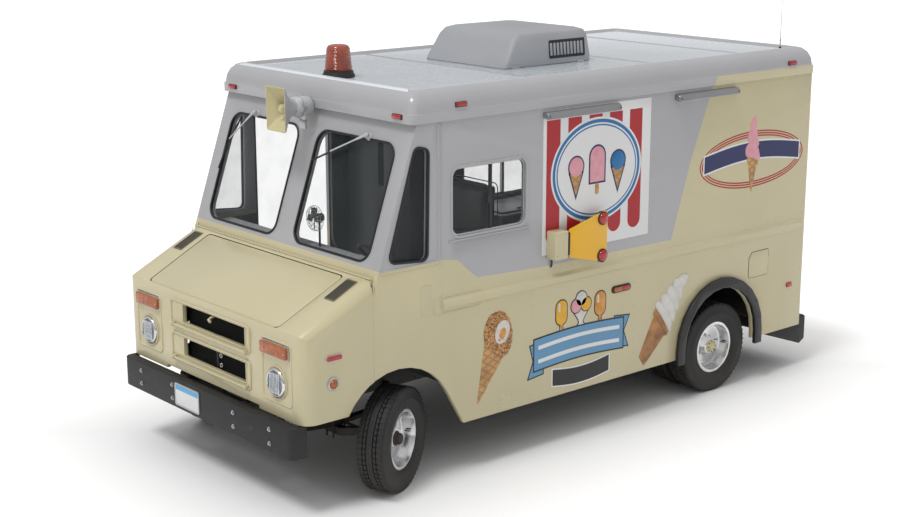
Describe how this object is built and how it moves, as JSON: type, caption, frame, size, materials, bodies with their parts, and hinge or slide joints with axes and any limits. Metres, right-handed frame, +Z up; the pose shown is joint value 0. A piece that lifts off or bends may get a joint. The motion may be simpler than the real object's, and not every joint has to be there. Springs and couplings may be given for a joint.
{
  "type": "ice cream truck",
  "caption": "Boxy forward-control ice cream van with opening hood, sliding side door, hinged rear doors, swing-out warning sign, steered front wheels and twin rear wheels.",
  "frame": {"origin": "on the ground, below the middle of the whole truck", "axes": "+Z up, the front faces -Y, the truck's left side faces +X"},
  "size_m": [2.5558, 5.44, 3.2713],
  "materials": {
    "cream_paint": "gloss enamel, cream",
    "grey_paint": "gloss enamel, light grey",
    "inner_panel": "satin slate paint",
    "black_steel": "satin black chassis paint",
    "bumper_paint": "satin dark grey paint",
    "tyre_rubber": "matt rubber",
    "chrome": "polished",
    "cast_steel": "rough cast and oily",
    "clear_glass": "clear",
    "amber_lens": "ribbed amber lens",
    "yellow_sign": "gloss yellow",
    "black_vinyl": "grained black vinyl",
    "silver_housing": "brushed"
  },
  "bodies": {
    "chassis": {"body_side_left": "cream_paint", "body_side_right": "cream_paint", "rear_frame": "cream_paint", "front_clip": "cream_paint", "sign_bracket": "cream_paint", "windshield_frame": "grey_paint", "roof": "grey_paint", "roof_air_conditioner": "grey_paint", "loudspeaker": "grey_paint", "dashboard": "inner_panel", "cab_bulkhead": "inner_panel", "floor_pan": "black_steel", "frame_rails": "black_steel", "radiator": "black_steel", "fuel_tank": "black_steel", "rear_bumper": "black_steel", "fender_flare_left": "black_steel", "fender_flare_right": "black_steel", "seat_base": "black_steel", "antenna": "black_steel", "front_bumper": "bumper_paint", "engine_block": "cast_steel", "drive_shaft": "cast_steel", "exhaust": "cast_steel", "front_axle": "cast_steel", "rear_axle": "cast_steel", "side_window_glass": "clear_glass", "serving_window_glass": "clear_glass", "windshield_left": "clear_glass", "windshield_right": "clear_glass", "quarter_glass_left": "clear_glass", "quarter_glass_right": "clear_glass", "headlamp_left": "clear_glass", "headlamp_right": "clear_glass", "beacon": "amber_lens", "engine_cover": "black_vinyl", "steering_wheel": "black_vinyl", "seat_cushion": "black_vinyl", "seat_backrest": "black_vinyl", "freezer_chest": "silver_housing"},
    "knuckle_left": {"knuckle_left": "cast_steel"},
    "knuckle_right": {"knuckle_right": "cast_steel"},
    "tie_rod": {"tie_rod": "cast_steel"},
    "wheel_front_left": {"tyre_front_left": "tyre_rubber", "rim_front_left": "chrome"},
    "wheel_front_right": {"tyre_front_right": "tyre_rubber", "rim_front_right": "chrome"},
    "wheel_rear_left": {"rim_rear_left": "chrome", "tyre_rear_left_outer": "tyre_rubber", "tyre_rear_left_inner": "tyre_rubber"},
    "wheel_rear_right": {"rim_rear_right": "chrome", "tyre_rear_right_outer": "tyre_rubber", "tyre_rear_right_inner": "tyre_rubber"},
    "hood": {"hood": "cream_paint"},
    "rear_door_left": {"rear_door_left": "cream_paint"},
    "rear_door_right": {"rear_door_right": "cream_paint"},
    "side_door": {"side_door": "inner_panel"},
    "sign_plate": {"sign_plate": "yellow_sign"}
  },
  "joints": [
    {"name": "steer_left", "type": "hinge", "parent": "chassis", "child": "knuckle_left", "pos_m": [0.91, -1.898, 0.372], "axis": [0, 0, 1], "range_deg": [-60.35, 7.65]},
    {"name": "steer_right", "type": "hinge", "parent": "chassis", "child": "knuckle_right", "pos_m": [-0.91, -1.898, 0.372], "axis": [0, 0, 1], "range_deg": [-60.35, 7.65]},
    {"name": "tie_rod_pivot", "type": "hinge", "parent": "knuckle_left", "child": "tie_rod", "pos_m": [0.83454, -1.74566, 0.284], "axis": [0, 0, 1], "range_deg": [-7.65, 60.35]},
    {"name": "wheel_front_left_spin", "type": "hinge", "parent": "knuckle_left", "child": "wheel_front_left", "pos_m": [1.03545, -1.83586, 0.372], "axis": [0.8961, 0.4439, 0], "continuous": true},
    {"name": "wheel_front_right_spin", "type": "hinge", "parent": "knuckle_right", "child": "wheel_front_right", "pos_m": [-1.03545, -1.96014, 0.372], "axis": [-0.8961, -0.4439, 0], "continuous": true},
    {"name": "wheel_rear_left_spin", "type": "hinge", "parent": "chassis", "child": "wheel_rear_left", "pos_m": [1.005, 1.512, 0.372], "axis": [1, 0, 0], "continuous": true},
    {"name": "wheel_rear_right_spin", "type": "hinge", "parent": "chassis", "child": "wheel_rear_right", "pos_m": [-1.005, 1.512, 0.372], "axis": [-1, 0, 0], "continuous": true},
    {"name": "hood_hinge", "type": "hinge", "parent": "chassis", "child": "hood", "pos_m": [0, -2.12029, 1.50617], "axis": [-1, 0, 0], "range_deg": [0, 60]},
    {"name": "rear_door_left_hinge", "type": "hinge", "parent": "chassis", "child": "rear_door_left", "pos_m": [0.653, 2.59, 1.53], "axis": [0, 0, -1], "range_deg": [0, 110]},
    {"name": "rear_door_right_hinge", "type": "hinge", "parent": "chassis", "child": "rear_door_right", "pos_m": [-0.653, 2.59, 1.53], "axis": [0, 0, 1], "range_deg": [0, 110]},
    {"name": "side_door_slide", "type": "slide", "parent": "chassis", "child": "side_door", "axis": [0, -1, 0], "range_m": [0, 0.71]},
    {"name": "sign_swing", "type": "hinge", "parent": "chassis", "child": "sign_plate", "pos_m": [1.216, -0.327, 1.555], "axis": [0, 0, -1], "range_deg": [0, 90]}
  ],
  "couplings": [
    {"joint": "steer_right", "follows": "steer_left", "ratio": 1},
    {"joint": "tie_rod_pivot", "follows": "steer_left", "ratio": -1}
  ]
}
